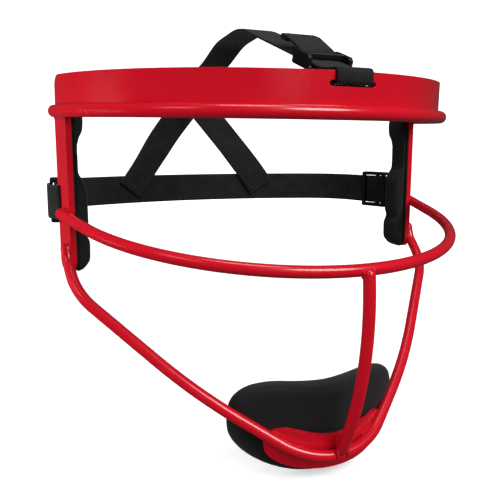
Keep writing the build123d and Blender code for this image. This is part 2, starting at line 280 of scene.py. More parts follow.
# ---- shape builders
def tube(name, path, radius, sides, scallop=0.0, total=None):
    """A round bar with domed ends, over a total length. scallop gives a weld bead's ripples."""
    heads, lengths = tangents(path), running_lengths(path)
    total = total or lengths[-1]
    up = heads[0].orthogonal().normalized()
    bm, previous = bmesh.new(), None
    for p, t, along in zip(path, heads, lengths):
        up = (up - t * up.dot(t)).normalized()
        side = t.cross(up).normalized()
        ripple = 1 + scallop * abs(sin(pi * along / RIPPLE_PITCH))
        r = radius * ripple * dome(min(along, total - along), radius)
        if r < 1e-3:
            ring = [bm.verts.new(p)]
        else:
            turns = [2 * pi * k / sides for k in range(sides)]
            ring = [bm.verts.new(p + (up * cos(q) + side * sin(q)) * r) for q in turns]
        if previous is not None:
            bridge(bm, previous, ring)
        previous = ring
    return make_object(name, bm)


def wire(name, points, diameter):
    """A cage wire: its rings stand closer at the ends, so that they are truly domed."""
    radius, fine = diameter / 2, 0.25
    dense = resample(points, fine)
    keep = [0]
    for i in range(1, len(dense) - 1):
        near = min(i, len(dense) - 1 - i) * fine
        step = 1 if near < radius * 0.5 else 2 if near < radius * 1.5 else 5
        if i - keep[-1] >= step:
            keep.append(i)
    return tube(name, [dense[i] for i in keep] + dense[-1:], radius, 32)


def bead(name, points, radius, sides, scallop):
    """A run of weld, with the ripples that the torch leaves."""
    return tube(name, resample(points, 0.3), radius, sides, scallop, running_lengths(points)[-1])


def slotted_sheet(name, stations, place, thickness, edge):
    """A sheet of metal with one slot. Each station is (s, low, slot low, slot high, top)."""
    bm, columns = bmesh.new(), []
    for s, low, slot_low, slot_high, top in stations:
        column = []
        for start, end in ((low, slot_low), (slot_high, top)):
            column.append([bm.verts.new(place(s, start + (end - start) * k / 3)) for k in range(4)])
        columns.append(column)
    for left, right in zip(columns, columns[1:]):
        for a, b in zip(left, right):
            for k in range(3):
                bm.faces.new((a[k], a[k + 1], b[k + 1], b[k]))
    piece = make_object(name, bm)
    solid = piece.modifiers.new("sheet", "SOLIDIFY")
    solid.thickness, solid.offset = thickness * MM, 0.0
    return bevelled(bake_modifiers(piece), edge)


def strap_outline(width):
    """A woven strap's section as (across, up): thin edges, and ribs that run along it."""
    half, edge, steps = width / 2, STRAP_T * 0.42, WEB_RIBS * 5
    upper = []
    for k in range(steps + 1):
        v = -1 + 2 * k / steps
        rise = WEB_RIB_DEPTH * (cos(pi * WEB_RIBS * v) - 1) / 2
        over = max(0.0, (abs(v) * half - (half - edge)) / edge)
        lift = sqrt(max(1 - over**2, 0.0))
        upper.append((v * half, STRAP_T / 2 * (0.35 + 0.65 * lift) + rise))
    return upper + [(y, -z) for y, z in reversed(upper)]


def unwrap(face, layer, places):
    for loop, (u, v) in zip(face.loops, places):
        loop[layer].uv = (u * MM, v * MM)


def webbing(name, path, across, width):
    """Woven strap along a path. across is the width's direction, one vector or one a point."""
    sides = across if isinstance(across, list) else [across] * len(path)
    outline, rows = strap_outline(width), []
    bm = bmesh.new()
    uv = bm.loops.layers.uv.new("weave")
    for p, t, side in zip(path, tangents(path), sides):
        side = (side - t * side.dot(t)).normalized()
        normal = t.cross(side).normalized()
        rows.append([bm.verts.new(p + side * y + normal * z) for y, z in outline])
    stations, count = list(zip(running_lengths(path), rows)), len(outline)
    for (ua, a), (ub, b) in zip(stations, stations[1:]):
        for k in range(count):
            j = (k + 1) % count
            face = bm.faces.new((a[k], a[j], b[j], b[k]))
            places = ((ua, outline[k][0]), (ua, outline[j][0]), (ub, outline[j][0]), (ub, outline[k][0]))
            unwrap(face, uv, places)
    for row in (rows[0], rows[-1]):
        unwrap(bm.faces.new(row), uv, [(z, y) for y, z in outline])
    return make_object(name, bm)


def stitches(name, rows):
    """Thread: each row is a list of (point, surface normal) pairs, one stitch between two."""
    bm = bmesh.new()
    for row in rows:
        for (a, normal), (b, _) in zip(row[::2], row[1::2]):
            side = (b - a).cross(normal).normalized()
            previous = None
            for k in range(7):
                arch = sin(pi * k / 6)
                centre = a.lerp(b, k / 6) + normal * (0.06 + 0.16 * arch)
                r = THREAD_R * (0.45 + 0.55 * arch)
                ring = [bm.verts.new(centre + (side * cos(q) + normal * sin(q)) * r)
                        for q in (pi * m / 3 for m in range(6))]
                if previous:
                    bridge(bm, previous, ring)
                else:
                    bm.faces.new(ring)
                previous = ring
            bm.faces.new(previous)
    return make_object(name, bm)


def stitch_line(a, b, normal):
    """One row of stitches from a to b on a flat surface."""
    pitch = STITCH + STITCH_GAP
    count = max(1, round((b - a).length / pitch))
    step, share = (b - a) / count, STITCH / pitch
    row = []
    for i in range(count):
        start = a + step * (i + (1 - share) / 2)
        row += [(start, normal), (start + step * share, normal)]
    return row


def bar_tack(centre, along, across, normal, width):
    """Dense zigzag across a strap, as a bar tack is sewn, in two passes."""
    count = int(width / TACK_PITCH)
    rows = []
    for middle in (centre - along * 0.85, centre + along * 0.85):
        row = []
        for i in range(count):
            y = -width / 2 + width * (i + 0.5) / count
            row += [(middle + across * y - along * 0.65, normal),
                    (middle + across * (y + TACK_PITCH * 0.45) + along * 0.65, normal)]
        rows.append(row)
    return rows


def foam(name, rim, surfaces, edge):
    """A slab with rounded edges. rim gives (x, z) round it; surfaces give Y, front and back."""
    centre = Vector((sum(p[0] for p in rim) / len(rim), sum(p[1] for p in rim) / len(rim)))
    bm, rims = bmesh.new(), []
    for sign, surface in zip((-1, 1), surfaces):
        previous = [bm.verts.new((centre.x, surface(*centre), centre.y))]
        for k in range(1, FOAM_RINGS + 1):
            share = sin(pi / 2 * k / FOAM_RINGS)
            shell = []
            for point in rim:
                spoke = Vector(point) - centre
                at = centre + spoke * share
                y = surface(*at) - sign * corner_drop(spoke.length * (1 - share), edge)
                shell.append(bm.verts.new((at.x, y, at.y)))
            bridge(bm, previous, shell)
            previous = shell
        rims.append(previous)
    bridge(bm, *rims)
    return make_object(name, bm)


def puffed(piece, voxel, cap):
    """Fills a soft piece by cloth simulation: it swells by at most cap, and is then smoothed."""
    voxelled(piece, voxel)
    before = [v.co.copy() for v in piece.data.vertices]
    cloth = piece.modifiers.new("cloth", "CLOTH")
    pad = cloth.settings
    pad.use_pressure, pad.uniform_pressure_force = True, PAD_PRESSURE
    pad.effector_weights.gravity = 0
    pad.tension_stiffness, pad.compression_stiffness, pad.bending_stiffness = 40, 40, 4
    cloth.point_cache.frame_start, cloth.point_cache.frame_end = 1, 20
    for step in range(1, 21):
        scene.frame_set(step)
    bake_modifiers(piece)
    scene.frame_set(1)
    for v, old in zip(piece.data.vertices, before):
        move = v.co - old
        if move.length > cap * MM:
            v.co = old + move.normalized() * cap * MM
    smoothed(piece, 6)
    finer = piece.modifiers.new("finer", "SUBSURF")
    finer.levels = finer.render_levels = 1
    bake_modifiers(piece)
    piece.data.shade_smooth()
    return piece


def softened(value, power):
    """A cosine or sine turned into a superellipse's."""
    return copysign(abs(value) ** (2 / power), value)


def superellipse_ring(place, mid_a, half_a, low_b, high_b, n_low, n_high):
    """A rounded-rectangle ring in two local directions, drawn through place(a, b)."""
    mid_b, half_b, ring = (low_b + high_b) / 2, (high_b - low_b) / 2, []
    for k in range(40):
        c, s = cos(2 * pi * k / 40), sin(2 * pi * k / 40)
        n = n_high if s > 0 else n_low
        ring.append(place(mid_a + half_a * softened(c, n), mid_b + half_b * softened(s, n)))
    return ring


def lofted(name, rings):
    """A closed skin over rings of equal length, with its ends closed."""
    bm = bmesh.new()
    rows = [[bm.verts.new(p) for p in ring] for ring in rings]
    for a, b in zip(rows, rows[1:]):
        bridge(bm, a, b)
    for row in (rows[0], rows[-1]):
        hub = bm.verts.new(sum((v.co for v in row), Vector()) / len(row))
        bridge(bm, row, [hub])
    return make_object(name, bm)


def moulded(name, boxes, place):
    """Plastic: boxes (centre, size) in a local frame, run together and rounded over."""
    bm = bmesh.new()
    for centre, size in boxes:
        made = bmesh.ops.create_cube(bm, size=1.0)["verts"]
        bmesh.ops.scale(bm, vec=size, verts=made)
        bmesh.ops.translate(bm, vec=centre, verts=made)
    piece = smoothed(voxelled(make_object(name, bm), 0.26), 7)
    piece.data.transform(place)
    piece.data.shade_smooth()
    return piece


# ---- materials
def new_material(name, base, roughness, **sockets):
    material = bpy.data.materials.new(name)
    material.use_nodes = True
    tree = material.node_tree
    shader = tree.nodes["Principled BSDF"]
    shader.inputs["Base Color"].default_value = (*base, 1)
    shader.inputs["Roughness"].default_value = roughness
    for socket, value in sockets.items():
        shader.inputs[socket.replace("_", " ")].default_value = value
    return material, tree, shader


def add_node(tree, kind, links=(), **settings):
    """A node with its properties and input values set; links are (socket, source output)."""
    node = tree.nodes.new(kind)
    for key, value in settings.items():
        if key.startswith("in_"):
            slot = key[3:]
            node.inputs[int(slot) if slot.isdigit() else slot].default_value = value
        else:
            setattr(node, key, value)
    for socket, source in links:
        tree.links.new(source, node.inputs[socket])
    return node


def colour_mix(tree, factor, dark, light):
    mix = add_node(tree, "ShaderNodeMix", data_type="RGBA")
    tree.links.new(factor, mix.inputs[0])
    mix.inputs[6].default_value, mix.inputs[7].default_value = (*dark, 1), (*light, 1)
    return mix.outputs[2]


def remap(tree, value, low, high, from_low=0.3, from_high=0.7):
    node = add_node(tree, "ShaderNodeMapRange", [(0, value)])
    for k, number in enumerate((from_low, from_high, low, high), start=1):
        node.inputs[k].default_value = number
    return node.outputs[0]


def bump(tree, shader, height, distance, strength, below=None):
    node = add_node(tree, "ShaderNodeBump", [("Height", height)], in_Strength=strength, in_Distance=distance)
    if below is not None:
        tree.links.new(below, node.inputs["Normal"])
    tree.links.new(node.outputs[0], shader.inputs["Normal"])
    return node.outputs[0]


def coat(tree, shader, factor, dark, light, low, high, *span):
    """A shade between two colours and a roughness between two values, by one pattern."""
    tree.links.new(colour_mix(tree, factor, dark, light), shader.inputs["Base Color"])
    tree.links.new(remap(tree, factor, low, high, *span), shader.inputs["Roughness"])


def object_place(tree):
    return add_node(tree, "ShaderNodeTexCoord").outputs["Object"]


def noise(tree, where, scale, detail):
    node = add_node(tree, "ShaderNodeTexNoise", [("Vector", where)], in_Scale=scale, in_Detail=detail)
    return node.outputs[0]


def maths(tree, operation, a, b):
    return add_node(tree, "ShaderNodeMath", [(0, a), (1, b)], operation=operation).outputs[0]


def red_coat():
    """Glossy powder coat: fine orange peel, faint mottling, a slightly duller bloom."""
    material, tree, shader = new_material(
        "red_powder_coat", RED, 0.26, Coat_Weight=0.60, Coat_Roughness=0.14, Specular_IOR_Level=0.40)
    where = object_place(tree)
    broad, peel = noise(tree, where, 90.0, 4.0), noise(tree, where, 900.0, 2.0)
    coat(tree, shader, broad, RED_DEEP, RED_LIGHT, 0.22, 0.30, 0.0, 1.0)
    bump(tree, shader, peel, 0.0003, 0.05)
    return material


def webbing_fabric():
    """Black elastic: ribs along the strap and picks across it, with a soft sheen and a painted highlight on
    their crests.
    """
    material, tree, shader = new_material(
        "black_elastic_webbing", WEBBING, 0.80, Sheen_Weight=0.12, Sheen_Roughness=0.45,
        Specular_IOR_Level=0.25)
    shader.inputs["Sheen Tint"].default_value = (0.8, 0.82, 0.85, 1)
    place = add_node(tree, "ShaderNodeUVMap", uv_map="weave").outputs[0]
    axes = add_node(tree, "ShaderNodeSeparateXYZ", [(0, place)])

    def wave(source, period, phase=0.0):
        turned = add_node(tree, "ShaderNodeMath", [(0, source)], operation="MULTIPLY_ADD",
                          in_1=2 * pi / period, in_2=phase)
        return add_node(tree, "ShaderNodeMath", [(0, turned.outputs[0])], operation="SINE").outputs[0]

    warp, weft = wave(axes.outputs[1], 0.00125, pi / 2), wave(axes.outputs[0], 0.00090)
    height = maths(tree, "MAXIMUM", warp, maths(tree, "MULTIPLY", warp, weft))
    where = object_place(tree)
    fuzz, worn = noise(tree, where, 2600.0, 2.0), noise(tree, where, 120.0, 2.0)
    shade = remap(tree, height, 0.0, 1.0, -1.0, 1.0)
    # Painted highlight: the base colour is lighter on the rib and pick crests, where the weave stands
    # highest, and varies with random wear noise.
    crest_highlight_and_wear = colour_mix(tree, maths(tree, "MULTIPLY", shade, worn), WEBBING_DARK, WEBBING_CREST_HIGHLIGHT)
    tree.links.new(crest_highlight_and_wear, shader.inputs["Base Color"])
    woven = bump(tree, shader, shade, 0.00022, 0.55)
    bump(tree, shader, fuzz, 0.00012, 0.35, woven)
    return material


def soft_fabric(name, dark, light, grain, depth, sheen):
    """Foam with a knitted face: fine loops, slow mottling and a little sheen."""
    material, tree, shader = new_material(
        name, dark, 0.86, Sheen_Weight=sheen, Sheen_Roughness=0.5, Specular_IOR_Level=0.25)
    where = object_place(tree)
    loops = add_node(tree, "ShaderNodeTexVoronoi", [("Vector", where)], in_Scale=grain).outputs[0]
    slow, fibre = noise(tree, where, 60.0, 4.0), noise(tree, where, grain * 2.2, 2.0)
    coat(tree, shader, slow, dark, light, 0.78, 0.92)
    knit = bump(tree, shader, loops, depth, 0.35)
    bump(tree, shader, fibre, depth * 0.5, 0.30, knit)
    return material


def black_plastic():
    """Moulded acetal: faint spark-eroded texture and handling marks."""
    material, tree, shader = new_material("black_adjuster_plastic", PLASTIC, 0.42, Specular_IOR_Level=0.45)
    where = object_place(tree)
    grain, marks = noise(tree, where, 4200.0, 2.0), noise(tree, where, 240.0, 3.0)
    coat(tree, shader, marks, PLASTIC, PLASTIC_LIGHT, 0.36, 0.50)
    bump(tree, shader, grain, 0.00008, 0.25)
    return material


RED, RED_DEEP, RED_LIGHT = (0.62, 0.004, 0.016), (0.59, 0.0035, 0.014), (0.65, 0.0045, 0.018)
# The webbing's light colour is a painted highlight, the colour of the weave's crests.
WEBBING, WEBBING_DARK, WEBBING_CREST_HIGHLIGHT = (0.008,) * 3, (0.003, 0.003, 0.0035), (0.028, 0.028, 0.029)
PLASTIC, PLASTIC_LIGHT = (0.004, 0.004, 0.0045), (0.008, 0.008, 0.0085)
red = red_coat()
elastic = webbing_fabric()
pad_fabric = soft_fabric("charcoal_pad_fabric", (0.008, 0.0082, 0.0085), (0.013, 0.0135, 0.014),
                         1500.0, 0.00020, 0.08)
hook_fabric = soft_fabric("hook_tape", (0.006, 0.006, 0.006), (0.012, 0.012, 0.012), 900.0, 0.0004, 0.1)
thread = soft_fabric("stitch_thread", (0.012, 0.012, 0.013), (0.022, 0.022, 0.024), 5000.0, 0.00005, 0.2)
plastic = black_plastic()


def finish_piece(piece, material, body, node=None, fill=None):
    """Material, the node it stands for and the body it rides on. fill is not used."""
    piece.data.materials.clear()
    piece.data.materials.append(material)
    if node:
        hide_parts(node)
    if body is not None:
        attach(piece, body)


def finish_pair(left, right_name, material, body, node=None, fill=None):
    """A left piece and its mirror image. body and node hold {} where the side goes."""
    for side, piece in (("right", copy_mirrored(left, right_name)), ("left", left)):
        finish_piece(piece, material, body.format(side), node and node.format(side), fill)


def finish_cage(piece, node):
    finish_piece(piece, red, "frame", node)


def finish_tape(piece, node):
    finish_piece(piece, hook_fabric, "frame", node)


def finish_strap(piece, body, node=None):
    finish_piece(piece, elastic, body, node)


def finish_pad(piece, node):
    finish_piece(piece, pad_fabric, "frame", node, PAD_FILL)


# ---- cage
def flat_columns(low_s, high_s, slot, corner, step=2.4):
    """Where a sheet needs columns: close together round its slot ends and rounded corners."""
    drops = [corner * (1 - cos(pi / 2 * k / 9)) for k in range(10)]
    stops = [low_s + drop for drop in drops] + [high_s - drop for drop in drops]
    stops += [low_s + step * k for k in range(int((high_s - low_s) / step)) if step * k > corner]
    if slot:
        middle, half, radius = slot
        for side in (-1, 1):
            for k in range(9):
                stops.append(middle + side * (half - radius * (1 - cos(pi / 2 * k / 8))))
            stops.append(middle + side * (half + 0.8))
    stops.sort()
    return [s for i, s in enumerate(stops) if s <= high_s and (i == 0 or s - stops[i - 1] > 1e-3)]


def slot_span(s, slot, centre, height):
    """The slot's low and high edge at a station, or its centre twice beyond the slot."""
    middle, half, radius = slot
    reach = dome(max(half - abs(s - middle), 0), radius) * height / 2
    return centre - reach, centre + reach


def plan_lookup(offset):
    """Total length of a plan curve, and a function from length to its point."""
    points = plan_points(offset, 0.6)
    lengths = running_lengths(points)

    def at(s):
        low, high = 0, len(lengths) - 1
        while high - low > 1:
            mid = (low + high) // 2
            low, high = (mid, high) if lengths[mid] <= s else (low, mid)
        t = (s - lengths[low]) / (lengths[low + 1] - lengths[low])
        return points[low].lerp(points[low + 1], min(max(t, 0), 1))

    return lengths[-1], at


def build_band():
    length, at = plan_lookup(BAND_OFFSET - BAND_T / 2)
    slot = (length / 2, BAND_SLOT_L / 2, BAND_SLOT_H / 2)
    stations = []
    for s in flat_columns(0, length, slot, BAND_CORNER):
        low, high = slot_span(s, slot, BAND_SLOT_Z, BAND_SLOT_H)
        top = BAND_TOP - corner_drop(min(s, length - s), BAND_CORNER)
        stations.append((s, 0.2, low, high, top))
    return slotted_sheet("forehead_band_sheet", stations,
                         lambda s, z: at(s) + Vector((0, 0, z)), BAND_T, 0.3)


forward = Vector((-sin(PLATE_TOE), -cos(PLATE_TOE), 0))
inward = Vector((-cos(PLATE_TOE), sin(PLATE_TOE), 0))
leaning = forward * cos(PLATE_LEAN) + Vector((0, 0, sin(PLATE_LEAN)))
upright = inward.cross(leaning)
PLATE_ORIGIN = Vector((PLATE_X, BACK_Y, 0))


def on_plate(u, v, w):
    """A point in the left plate's frame: forward, up, and inward from its outer face."""
    return PLATE_ORIGIN + leaning * u + upright * v + inward * w


def from_plate(p):
    d = p - PLATE_ORIGIN
    return d.dot(leaning), d.dot(upright), d.dot(inward)


def build_side_plate():
    low_v, high_v = PLATE_LOW - PLATE_GAP, -PLATE_GAP
    slot = (REAR_Z, PLATE_SLOT_H / 2, PLATE_SLOT_W / 2)
    centre = PLATE_SLOT_EDGE + PLATE_SLOT_W / 2
    stations = []
    for v in flat_columns(low_v, high_v, slot, PLATE_CORNER):
        drop = corner_drop(v - low_v, PLATE_CORNER)
        low, high = slot_span(v, slot, centre, PLATE_SLOT_W)
        stations.append((v, min(drop, centre - 0.1), low, high, PLATE_W - drop))
    return slotted_sheet("left_side_plate_sheet", stations,
                         lambda v, u: on_plate(u, v, PLATE_T / 2), PLATE_T, 0.55)


def cheek_points():
    tilt, splay, radius = radians(8.5), radians(13.1), 87.7
    y_dir = Vector((0, cos(tilt), sin(tilt)))
    centre = Vector((0, -106.6, -55.2)) + y_dir * radius
    arc = [centre + X_AXIS * p.x + y_dir * p.y
           for p in plan_arc(0, 0, radius, pi + splay, 2 * pi - splay, 120)]
    leg = (X_AXIS * sin(splay) + y_dir * cos(splay)) * 25.0
    return [arc[0] + mirror_path([leg])[0]] + arc + [arc[-1] + leg]


JAW_TILT = radians(44.0)
JAW_START = (-21.4, -61.3)
JAW_HALF = [(89.1, 0.0), (88.5, 16.1), (50.7, 67.2), (13.5, 102.0)]


def jaw_points():
    half = [Vector((89.4, -19.0, -54.0))]
    for x, s in JAW_HALF:
        half.append(Vector((x, JAW_START[0] - s * cos(JAW_TILT),
                            JAW_START[1] - s * sin(JAW_TILT))))
    radii = [12.0, 31.0, 225.0, 34.0]
    return rounded_path(half + mirror_path(half[::-1]), radii + radii[::-1])


def arc_through(a, b, c):
    """Points on the shallow arc from a to c that passes through b."""
    u, v = b - a, c - a
    w = u.cross(v)
    toward = w.cross(u) * v.length_squared + v.cross(w) * u.length_squared
    return arc_points(a + toward / (2 * w.length_squared), a, c, 1.33)


cheek, jaw = cheek_points(), jaw_points()
bar = arc_through(*middle_points((-108.6, -54.4), (-108.4, -92.3), (-95.6, -131.2)))
finish_cage(wire("brow_rail_wire", plan_points(0), RAIL_D), "brow_rail")
finish_cage(build_band(), "forehead_plate")
finish_pair(build_side_plate(), "right_side_plate_sheet", red, "frame", "{}_side_plate")
finish_cage(wire("cheek_bar_wire", cheek, WIRE_D), "cheek_bar")
finish_cage(wire("jaw_bar_wire", jaw, WIRE_D), "jaw_bar")
finish_cage(wire("centre_bar_wire", bar, WIRE_D), "centre_bar")


def jaw_plan_y(x):
    """How far forward the jaw bar is at a distance x from the middle, in the chin curve."""
    (leg_x, leg_s), (corner_x, corner_s) = JAW_HALF[-2:]
    radius = 34.0
    slope = atan2(corner_s - leg_s, leg_x - corner_x)
    arc_x = corner_x - radius * tan(slope / 2)
    arc_end = arc_x + radius * sin(slope)
    if x <= arc_x:
        drop = 0.0
    elif x <= arc_end:
        drop = radius - sqrt(radius**2 - (x - arc_x) ** 2)
    else:
        drop = radius * (1 - cos(slope)) + (x - arc_end) * tan(slope)
    return JAW_START[0] - (corner_s - drop) * cos(JAW_TILT)


JAW_LOW_Z = JAW_START[1] - JAW_HALF[-1][1] * sin(JAW_TILT)


def chin_surface(depth):
    """The chin plate's bent surface, depth behind its front face."""
    def place(x, z):
        y = jaw_plan_y(abs(x)) + (WIRE_D / 2 + 0.1) * 1.15 + depth
        return Vector((x, y - CHIN_LEAN * (z - JAW_LOW_Z), z))
    return place


def chin_edge(half):
    """A smooth curve through points (x, z) of its right half and their mirror images."""
    half = [Vector((x, z, 0)) for x, z in half]
    return catmull(half + mirror_path(half[-2::-1]), 0.5)


def build_chin_plate():
    """Wavy top edge, bowed lower edge and rounded ends."""
    upper = chin_edge([(-27.6, -127.0), (-26.4, -122.6), (-21.3, -120.4), (-15, -121.6),
                       (-8, -123.5), (0, -124.4)])
    lower = chin_edge([(-27.6, -127.0), (-26.2, -131.6), (-21.3, -135.4), (-12, -138.0), (0, -138.9)])

    def height(curve, x):
        for a, b in zip(curve, curve[1:]):
            if a.x <= x <= b.x and b.x > a.x:
                return a.y + (b.y - a.y) * (x - a.x) / (b.x - a.x)
        return -127.0

    stations = []
    for k in range(81):
        x = 27.5 * sin(pi / 2 * (k - 40) / 40)
        low, high = height(lower, x), height(upper, x)
        stations.append((x, low, (low + high) / 2, (low + high) / 2, max(high, low + 0.2)))
    return slotted_sheet("chin_plate_sheet", stations, chin_surface(0.8), 1.6, 0.45)


finish_cage(build_chin_plate(), "chin_plate")


# ---- welds
def plate_welds():
    """Beads along both sides of the two wires where they lie on the left plate."""
    beads = []
    for index, path in enumerate((cheek, jaw)):
        on = []
        for p in resample(path, 0.5):
            u, v, w = from_plate(p)
            if 0.8 < u < PLATE_W - 0.2 and PLATE_LOW < v < -2 and w > -WIRE_D / 2:
                on.append((u, v))
        heading = (Vector(on[-1]) - Vector(on[0])).normalized()
        for side in (-1, 1):
            shift = Vector((-heading.y, heading.x)) * side * 2.0
            line = [on_plate(u + shift.x, v + shift.y, -0.15) for u, v in on
                    if 0.6 < u + shift.x < PLATE_W - 0.5]
            beads.append(bead(f"bead_{index}_{side}", line, 0.5, 14, 0.08))
    for name, v, w, radius, scallop in (("bead_rail", -2.9, -0.1, 0.55, 0.12),
                                        ("bead_rail_in", -2.3, PLATE_T + 0.1, 0.8, 0.16)):
        line = [on_plate(0.8 + k * 0.5, v, w) for k in range(25)]
        beads.append(bead(name, line, radius, 14, scallop))
    return joined("left_plate_welds", beads)


def centre_welds():
    """Beads beside the centre bar's ends, and two where the chin plate meets the jaw bar."""
    beads = []
    turns = [radians(degrees) for degrees in range(-70, 71, 10)]
    for side in (-1, 1):
        for end, y, z, bulge, radius in (("top", -107.6, -56.0, 1.1, 0.5), ("low", -96.4, -130.6, 1.0, 0.55)):
            line = [Vector((side * WIRE_D / 2, y - bulge * cos(a), z + 2.0 * sin(a)))
                    for a in turns]
            beads.append(bead(f"bead_{end}_{side}", line, radius, 12, 0.10))
    for middle in (-17.0, 17.0):
        line = []
        for k in range(13):
            x = middle - 3.6 + 0.6 * k
            y = jaw_plan_y(abs(x))
            rise = (y - jaw_plan_y(0)) * tan(JAW_TILT)
            line.append(Vector((x, y + 2.0, JAW_LOW_Z + 1.6 + rise)))
        beads.append(bead(f"bead_chin_{middle}", line, 0.6, 12, 0.12))
    return joined("centre_bar_welds", beads)


finish_pair(plate_welds(), "right_plate_welds", red, "frame")
finish_piece(centre_welds(), red, "frame")


# ---- hook tape and foam pads
def plain_sheet(name, low_s, high_s, low_b, high_b, place):
    """Hook tape with rounded corners and no slot."""
    middle, stations = (low_b + high_b) / 2, []
    for s in flat_columns(low_s, high_s, None, TAPE_CORNER, 2.0):
        drop = corner_drop(min(s - low_s, high_s - s), TAPE_CORNER)
        stations.append((s, low_b + drop, middle, middle, high_b - drop))
    return slotted_sheet(name, stations, place, HOOK_T - 0.1, 0.15)


def build_forehead_hook():
    """The band's lining, with a slit that the top strap passes through."""
    length, at = plan_lookup(BAND_OFFSET - BAND_T - HOOK_T / 2)
    arc = radians(PAD_HALF_ANGLE - 2) * RAIL_REACH * 0.96
    slit = (length / 2, SLIT_HALF, SLIT_END_R)
    stations = []
    for s in flat_columns(length / 2 - arc, length / 2 + arc, slit, TAPE_CORNER, 2.0):
        drop = corner_drop(arc - abs(s - length / 2), TAPE_CORNER)
        low, high = slot_span(s, slit, BAND_STRAP_Z, STRAP_T + 0.1)
        stations.append((s, 1.0 + drop, low, high, TAPE_TOP - drop))
    return slotted_sheet("forehead_hook_tape", stations,
                         lambda s, z: at(s) + Vector((0, 0, z)), HOOK_T - 0.1, 0.15)


def build_forehead_pad():
    points = plan_points(BAND_OFFSET - BAND_T - HOOK_T - 3.0)
    keep = [p for p in points if abs(atan2(p.x, -p.y)) < radians(PAD_HALF_ANGLE)]
    rings, lengths = [], running_lengths(keep)
    for p, t, along in zip(keep, tangents(keep), lengths):
        share = max(dome(min(along, lengths[-1] - along), 4.0), 0.35)
        side = Vector((t.y, -t.x, 0)).normalized()
        if side.dot(Vector((p.x, p.y, 0))) > 0:
            side = -side
        rings.append(superellipse_ring(
            lambda a, b, p=p, side=side: p + Vector((0, 0, a)) + side * b,
            4.2, 4.9 * (0.7 + 0.3 * share), -2.8, -2.8 + 5.4 * share, 5.0, 2.8))
    return lofted("forehead_foam_pad", rings)


TEMPLE_LOBES = [(4.2, 5.0), (2.0, 7.3), (-3.5, 8.5), (-8.0, 8.1), (-11.8, 5.9), (-14.5, 5.2), (-25.5, 5.2),
                (-28.8, 7.6), (-32.0, 9.1), (-47.0, 9.2), (-50.8, 7.9), (-54.5, 9.6), (-61.5, 9.5),
                (-65.5, 7.8), (-67.2, 5.2)]


def temple_depth(v):
    """How far the left temple pad stands off its plate at height v: three lobes, two waists."""
    for (high, a), (low, b) in zip(TEMPLE_LOBES, TEMPLE_LOBES[1:]):
        if v >= low:
            break
    t = (high - v) / (high - low)
    return a + (b - a) * t * t * (3 - 2 * t)


def build_temple_pad():
    base = PLATE_T + HOOK_T + 0.05
    rings, low_v, high_v = [], -67.0, 4.0
    for k in range(91):
        v = low_v + (high_v - low_v) * (1 - cos(pi * k / 90)) / 2
        share = max(dome(min(v - low_v, high_v - v), 4.5), 0.15)
        depth = base + 0.6 + (temple_depth(v) - base - 0.6) * share
        rings.append(superellipse_ring(
            lambda a, b, v=v: on_plate(a, v, b), PLATE_W / 2 + 0.1, 6.5 * (0.55 + 0.45 * share),
            base, depth, 6.0, 2.9))
    return lofted("left_temple_foam_pad", rings)


def chin_rim():
    """The chin pad's outline: broad, dished along its top and bowed along its foot."""
    half, count, rim = 39.0, 120, []
    for k in range(count):
        c, s = cos(2 * pi * k / count), sin(2 * pi * k / count)
        u = softened(c, 2.44)
        high = -105.2 + 13.69 * u**2 - 5.89 * u**4
        low = -143.6 + 7.09 * u**2 - 2.15 * u**4
        rise = softened(s, 2.44 if s > 0 else 2.85)
        rim.append((half * u, (high + low) / 2 + (high - low) / 2 * rise))
    return rim


def bowed(middle_y, radius):
    def surface(x, z):
        return middle_y + radius - sqrt(radius**2 - x**2) - CHIN_LEAN * (z + 120)
    return surface


finish_tape(build_forehead_hook(), "forehead_hook_strip")
chin_hook = plain_sheet("chin_hook_tape", -22, 22, -137, -124, chin_surface(1.6 + HOOK_T / 2))
finish_tape(chin_hook, "chin_hook_patch")
left_hook = plain_sheet("left_temple_hook_tape", -63.0, -5.0, PLATE_SLOT_EDGE + PLATE_SLOT_W + 0.6,
                        PLATE_W - 0.4, lambda v, u: on_plate(u, v, PLATE_T + HOOK_T / 2))
finish_pair(left_hook, "right_temple_hook_tape", hook_fabric, "frame", "{}_temple_hook_strip")

finish_pad(puffed(build_forehead_pad(), 1.1, 0.5), "forehead_pad")
left_pad = puffed(build_temple_pad(), 0.8, 0.5)
finish_pair(left_pad, "right_temple_foam_pad", pad_fabric, "frame", "{}_temple_pad", PAD_FILL)
chin_pad = foam("chin_foam_pad", chin_rim(), (bowed(-88.7, 65.5), bowed(-76.6, 89.7)), 4.0)
finish_pad(puffed(chin_pad, 1.3, 0.7), "chin_pad")


# ---- harness
FALL_NORMAL = Vector((0, sin(REAR_FALL), cos(REAR_FALL)))
FALL_Y = FALL_NORMAL.cross(X_AXIS)
heading = Vector((-sin(SIDE_TURN), cos(SIDE_TURN)))
outward = Vector((heading.y, -heading.x))
FACE_GAP = STRAP_T / 2 + 0.1


def on_strap(p):
    """A plan point of the rear strap, put into the strap's falling plane."""
    return Vector((p[0], 0, REAR_Z)) + FALL_Y * p[1]


def flat(p):
    return Vector((p.x, p.y))


ahead, inside = flat(forward), flat(inward)
plate_shift = ahead * (-REAR_Z * tan(PLATE_LEAN))
plate_corner = Vector((PLATE_X, BACK_Y)) + plate_shift
slot_middle = ahead * (PLATE_SLOT_EDGE + PLATE_SLOT_W / 2)
inside_face = plate_corner + inside * (PLATE_T + FACE_GAP)
outside_face = plate_corner - inside * FACE_GAP
slot_inside = plate_corner + slot_middle + inside * (PLATE_T * 0.55)
slot_outside = plate_corner + slot_middle + inside * (PLATE_T * 0.45)


